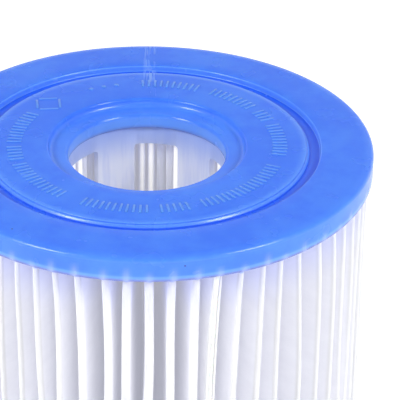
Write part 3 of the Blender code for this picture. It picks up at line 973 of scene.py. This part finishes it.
CORE_WALL = 1.5 * MM
WINDOW_COLUMNS = 6
WINDOW_TIERS = 3
WINDOW_WIDTH = 9.6 * MM
WINDOW_BAR = 4.0 * MM
CORE_END_BAND = 4.0 * MM
WINDOW_AZIMUTH = math.radians(-6.6)
WINDOW_CORNER = 0.9 * MM
CORE_EDGE = 0.22 * MM
WINDOW_STEPS = 10
STAVE_STEPS = 6


def make_core(material):
    """The cage: a sheet cut with windows, rolled into a tube and given its wall."""
    middle = CORE_RADIUS - CORE_WALL / 2
    sector = 2 * math.pi / WINDOW_COLUMNS
    window = WINDOW_WIDTH / middle
    azimuths = []
    for column in range(WINDOW_COLUMNS):
        start = WINDOW_AZIMUTH + column * sector - window / 2
        azimuths += [start + window * step / WINDOW_STEPS for step in range(WINDOW_STEPS)]
        start += window
        azimuths += [start + (sector - window) * step / STAVE_STEPS for step in range(STAVE_STEPS)]
    azimuths.append(azimuths[0] + 2 * math.pi)

    first = CAP_THICKNESS + CORE_END_BAND
    span = TOP_FACE - 2 * first
    tall = (span - WINDOW_BAR * (WINDOW_TIERS - 1)) / WINDOW_TIERS
    heights = [PACK_BOTTOM]
    for tier in range(WINDOW_TIERS):
        foot = first + tier * (tall + WINDOW_BAR)
        heights += [foot, foot + tall]
    heights.append(PACK_TOP)

    bm = bmesh.new()
    columns = len(azimuths) - 1
    rows = len(heights) - 1
    bmesh.ops.create_grid(bm, x_segments=columns, y_segments=rows, size=0.5)
    for vertex in bm.verts:
        column = round((vertex.co.x + 0.5) * columns)
        row = round((vertex.co.y + 0.5) * rows)
        vertex.co = (column, row, 0.0)
    panes = []
    for face in bm.faces:
        spot = face.calc_center_median()
        in_window = spot.x % (WINDOW_STEPS + STAVE_STEPS) < WINDOW_STEPS
        if in_window and int(spot.y) % 2 == 1:
            panes.append(face)
    bmesh.ops.delete(bm, geom=panes, context="FACES")
    for vertex in bm.verts:
        vertex.co = around(middle, azimuths[round(vertex.co.x)], heights[round(vertex.co.y)])
    bmesh.ops.remove_doubles(bm, verts=bm.verts, dist=0.01 * MM)
    corners = [v for v in bm.verts if v.is_boundary and len(v.link_faces) == 3]
    bmesh.ops.bevel(bm, geom=corners, offset=WINDOW_CORNER, offset_type="OFFSET", segments=4,
                    profile=0.5, affect="VERTICES", material=-1)
    bmesh.ops.recalc_face_normals(bm, faces=bm.faces)
    piece = add_piece("cage_core", bm, material, "inner_core")
    wall = piece.modifiers.new("wall", "SOLIDIFY")
    wall.thickness = CORE_WALL
    wall.offset = 0.0
    wall.use_even_offset = True
    edge = piece.modifiers.new("moulded_edges", "BEVEL")
    edge.width = CORE_EDGE
    edge.segments = 2
    edge.limit_method = "ANGLE"
    edge.angle_limit = SHARP_EDGE
    return piece

# ---------------------------------------------------------------- studio

FLOOR_SIZE = 60.0
FLOOR_GAP = 0.05 * MM
FLOOR_WHITE = (0.93, 0.93, 0.94, 1.0)
FLOOR_GREY = (0.90, 0.90, 0.91, 1.0)
FLOOR_LIGHT_FADE = (0.5, 1.5)           # metres from the cartridge
FLOOR_LIGHT_NEAR = 0.38
FLOOR_LIGHT_FAR = 1.0
SOFTBOX_DISTANCE = 0.85
SOFTBOX_AZIMUTH = math.radians(57)
SOFTBOX_ELEVATION = math.radians(38)
SOFTBOX_SIZE = 0.20
SOFTBOX_POWER = 3.4
CEILING_HEIGHT = 1.1
CEILING_BACK = 0.1                      # metres behind the axis
CEILING_SIZE = 1.6
CEILING_POWER = 2.0
ROOM_HORIZON = 1.12
ROOM_ZENITH = 0.22
ROOM_WHITE = (0.97, 0.98, 1.0, 1.0)


def pale_floor():
    """A pale seamless floor with a very faint cloudiness, lit evenly far away."""
    material, nodes, shader = new_material("pale_floor")
    place = nodes.object_place()
    clouds = nodes.noise(place, 3.0, 2.0)
    colour = nodes.mix(clouds, FLOOR_GREY, FLOOR_WHITE)
    nodes.feed(shader.inputs["Base Color"], colour)
    shader.inputs["Roughness"].default_value = 0.9
    shader.inputs["Emission Color"].default_value = (1.0, 1.0, 1.0, 1.0)
    lit = nodes.ramp(nodes.from_axis(place), *FLOOR_LIGHT_FADE, FLOOR_LIGHT_NEAR, FLOOR_LIGHT_FAR)
    nodes.feed(shader.inputs["Emission Strength"], lit)
    return material


def area_light(name, place, aim, size, power):
    """A rectangular soft light."""
    data = bpy.data.lights.new(name, "AREA")
    data.shape = "RECTANGLE"
    data.size, data.size_y = size
    data.energy = power
    light = bpy.data.objects.new(name, data)
    light.location = place
    light.rotation_euler = (aim - place).to_track_quat("-Z", "Y").to_euler()
    bpy.context.scene.collection.objects.link(light)


def make_studio():
    """Floor, room light, two softboxes in front and a ceiling light."""
    bm = bmesh.new()
    bmesh.ops.create_grid(bm, x_segments=1, y_segments=1, size=FLOOR_SIZE / 2,
                          matrix=Matrix.Translation((0.0, 0.0, -FLOOR_GAP)))
    mesh = bpy.data.meshes.new("floor")
    bm.to_mesh(mesh)
    bm.free()
    mesh.materials.append(pale_floor())
    floor = bpy.data.objects.new("floor", mesh)
    bpy.context.scene.collection.objects.link(floor)

    world = bpy.data.worlds.new("room")
    world.use_nodes = True
    nodes = Nodes(world.node_tree)
    direction = nodes.add("ShaderNodeTexCoord").outputs["Generated"]
    strength = nodes.ramp(nodes.split(direction)["Z"], 0.0, 0.8, ROOM_HORIZON, ROOM_ZENITH)
    background = world.node_tree.nodes["Background"]
    background.inputs["Color"].default_value = ROOM_WHITE
    nodes.feed(background.inputs["Strength"], strength)
    bpy.context.scene.world = world

    aim = Vector((0.0, 0.0, TOP_FACE))
    for name, side in (("softbox_left", -1), ("softbox_right", 1)):
        flat = SOFTBOX_DISTANCE * math.cos(SOFTBOX_ELEVATION)
        rise = Vector((0.0, 0.0, SOFTBOX_DISTANCE * math.sin(SOFTBOX_ELEVATION)))
        place = aim + around(flat, side * SOFTBOX_AZIMUTH, 0.0) + rise
        area_light(name, place, aim, (SOFTBOX_SIZE, SOFTBOX_SIZE), SOFTBOX_POWER)
    overhead = Vector((0.0, CEILING_BACK, CEILING_HEIGHT))
    area_light("ceiling", overhead, aim, (CEILING_SIZE, CEILING_SIZE), CEILING_POWER)
    bpy.context.scene.view_settings.view_transform = "Standard"

# ---------------------------------------------------------------- the cartridge


def make_cartridge():
    """All pieces of the cartridge."""
    draw = random.Random(64)
    pleats = [Pleat(index, draw) for index in range(PLEAT_COUNT)]
    vinyl = cap_vinyl()
    make_cap("top_cap_casting", "top_end_cap", pleats, vinyl, False)
    make_cap("bottom_cap_casting", "bottom_end_cap", pleats, vinyl, True)
    cloth, length = make_cloth(pleats, pleat_cloth())
    make_seam_glue(pleats, seam_glue())
    make_core(core_plastic())


make_cartridge()
make_studio()
